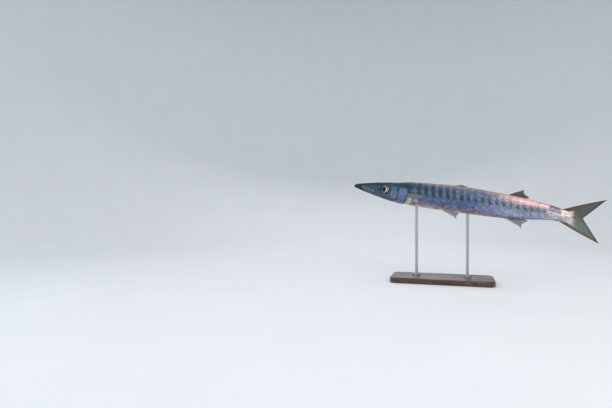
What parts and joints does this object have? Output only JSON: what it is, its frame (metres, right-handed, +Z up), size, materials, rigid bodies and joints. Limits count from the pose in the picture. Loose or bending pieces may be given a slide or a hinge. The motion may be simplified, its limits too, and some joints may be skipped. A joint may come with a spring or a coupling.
{
  "type": "barracuda",
  "caption": "Life-size slender barracuda, silver with dark bars over the back, swimming with its nose a little up on a flat display base with short rods.",
  "frame": {"origin": "centre of the stand base's underside, under the fish's middle", "axes": "+X from the head to the tail, +Z up, so the fish's left side, the one in the picture, faces -Y"},
  "size_m": [0.687, 0.13, 0.2953],
  "materials": {
    "skin": "wet silver-blue scales, dark bars over the back",
    "eye": "wet eye, black pupil in a pale iris",
    "dusky_fin": "dusky olive-brown fin",
    "pale_fin": "pale grey fin",
    "stand_wood": "dark stained wood, satin",
    "stand_steel": "brushed"
  },
  "bodies": {
    "root": {"head": "skin", "upper_jaw": "skin", "lower_jaw": "skin", "gill_cover_left": "skin", "gill_cover_right": "skin", "trunk": "skin", "tail": "skin", "eye_left": "eye", "eye_right": "eye", "tail_fin_upper": "dusky_fin", "tail_fin_lower": "dusky_fin", "first_dorsal_fin": "dusky_fin", "second_dorsal_fin": "dusky_fin", "anal_fin": "pale_fin", "pectoral_fin_left": "pale_fin", "pectoral_fin_right": "pale_fin", "pelvic_fin_left": "pale_fin", "pelvic_fin_right": "pale_fin", "stand_base": "stand_wood", "stand_rod_front": "stand_steel", "stand_rod_rear": "stand_steel", "stand_collar_front": "stand_steel", "stand_collar_rear": "stand_steel"}
  },
  "joints": []
}
